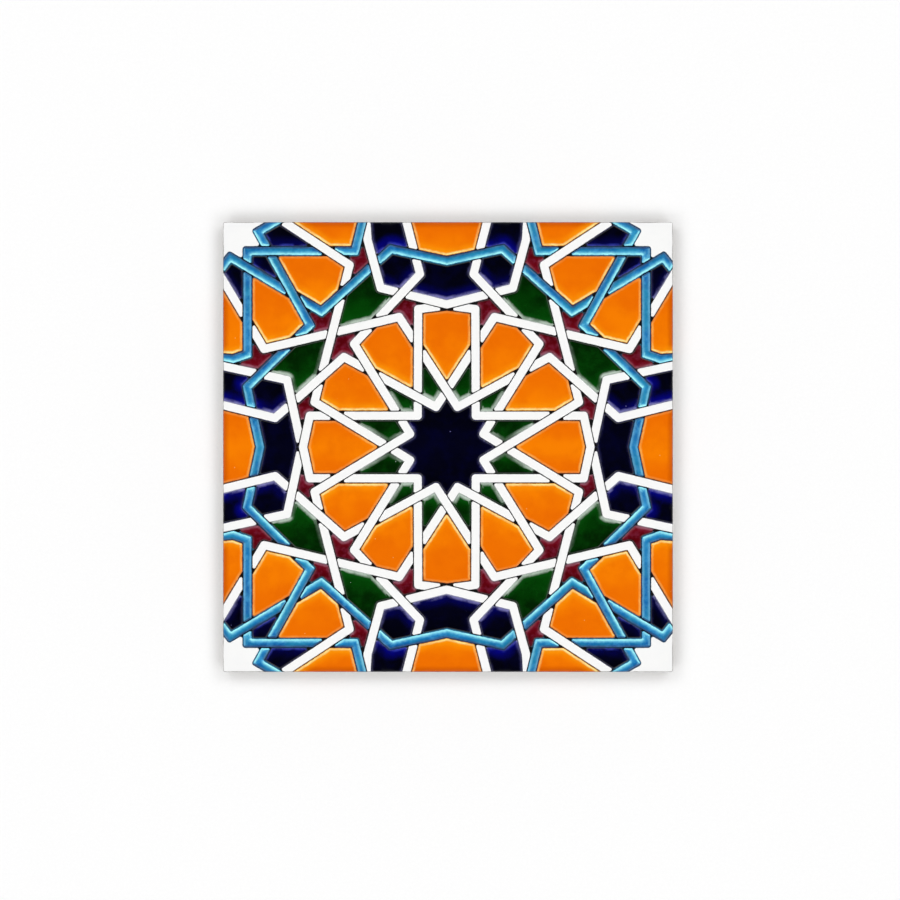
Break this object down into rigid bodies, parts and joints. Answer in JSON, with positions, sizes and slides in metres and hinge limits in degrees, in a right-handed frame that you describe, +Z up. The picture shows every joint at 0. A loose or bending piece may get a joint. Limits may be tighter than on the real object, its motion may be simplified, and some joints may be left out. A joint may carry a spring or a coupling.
{
  "type": "moroccan tile",
  "caption": "Square glazed ceramic wall and floor tile with interlaced star strapwork in Moroccan style on its face and a keyed back for bedding in mortar.",
  "frame": {"origin": "middle of the back, on the plane of its ribs, which the tile rests on", "axes": "+Z up, out of the glazed face, along the thickness; X and Y along the edges, X to the right in the reference view from above"},
  "size_m": [0.2, 0.2, 0.009],
  "materials": {
    "glazed_tile": "glossy multicoloured glaze on the face, bare fired biscuit on the sides below it and on the back"
  },
  "bodies": {
    "root": {"glazed_tile": "glazed_tile"}
  },
  "joints": []
}
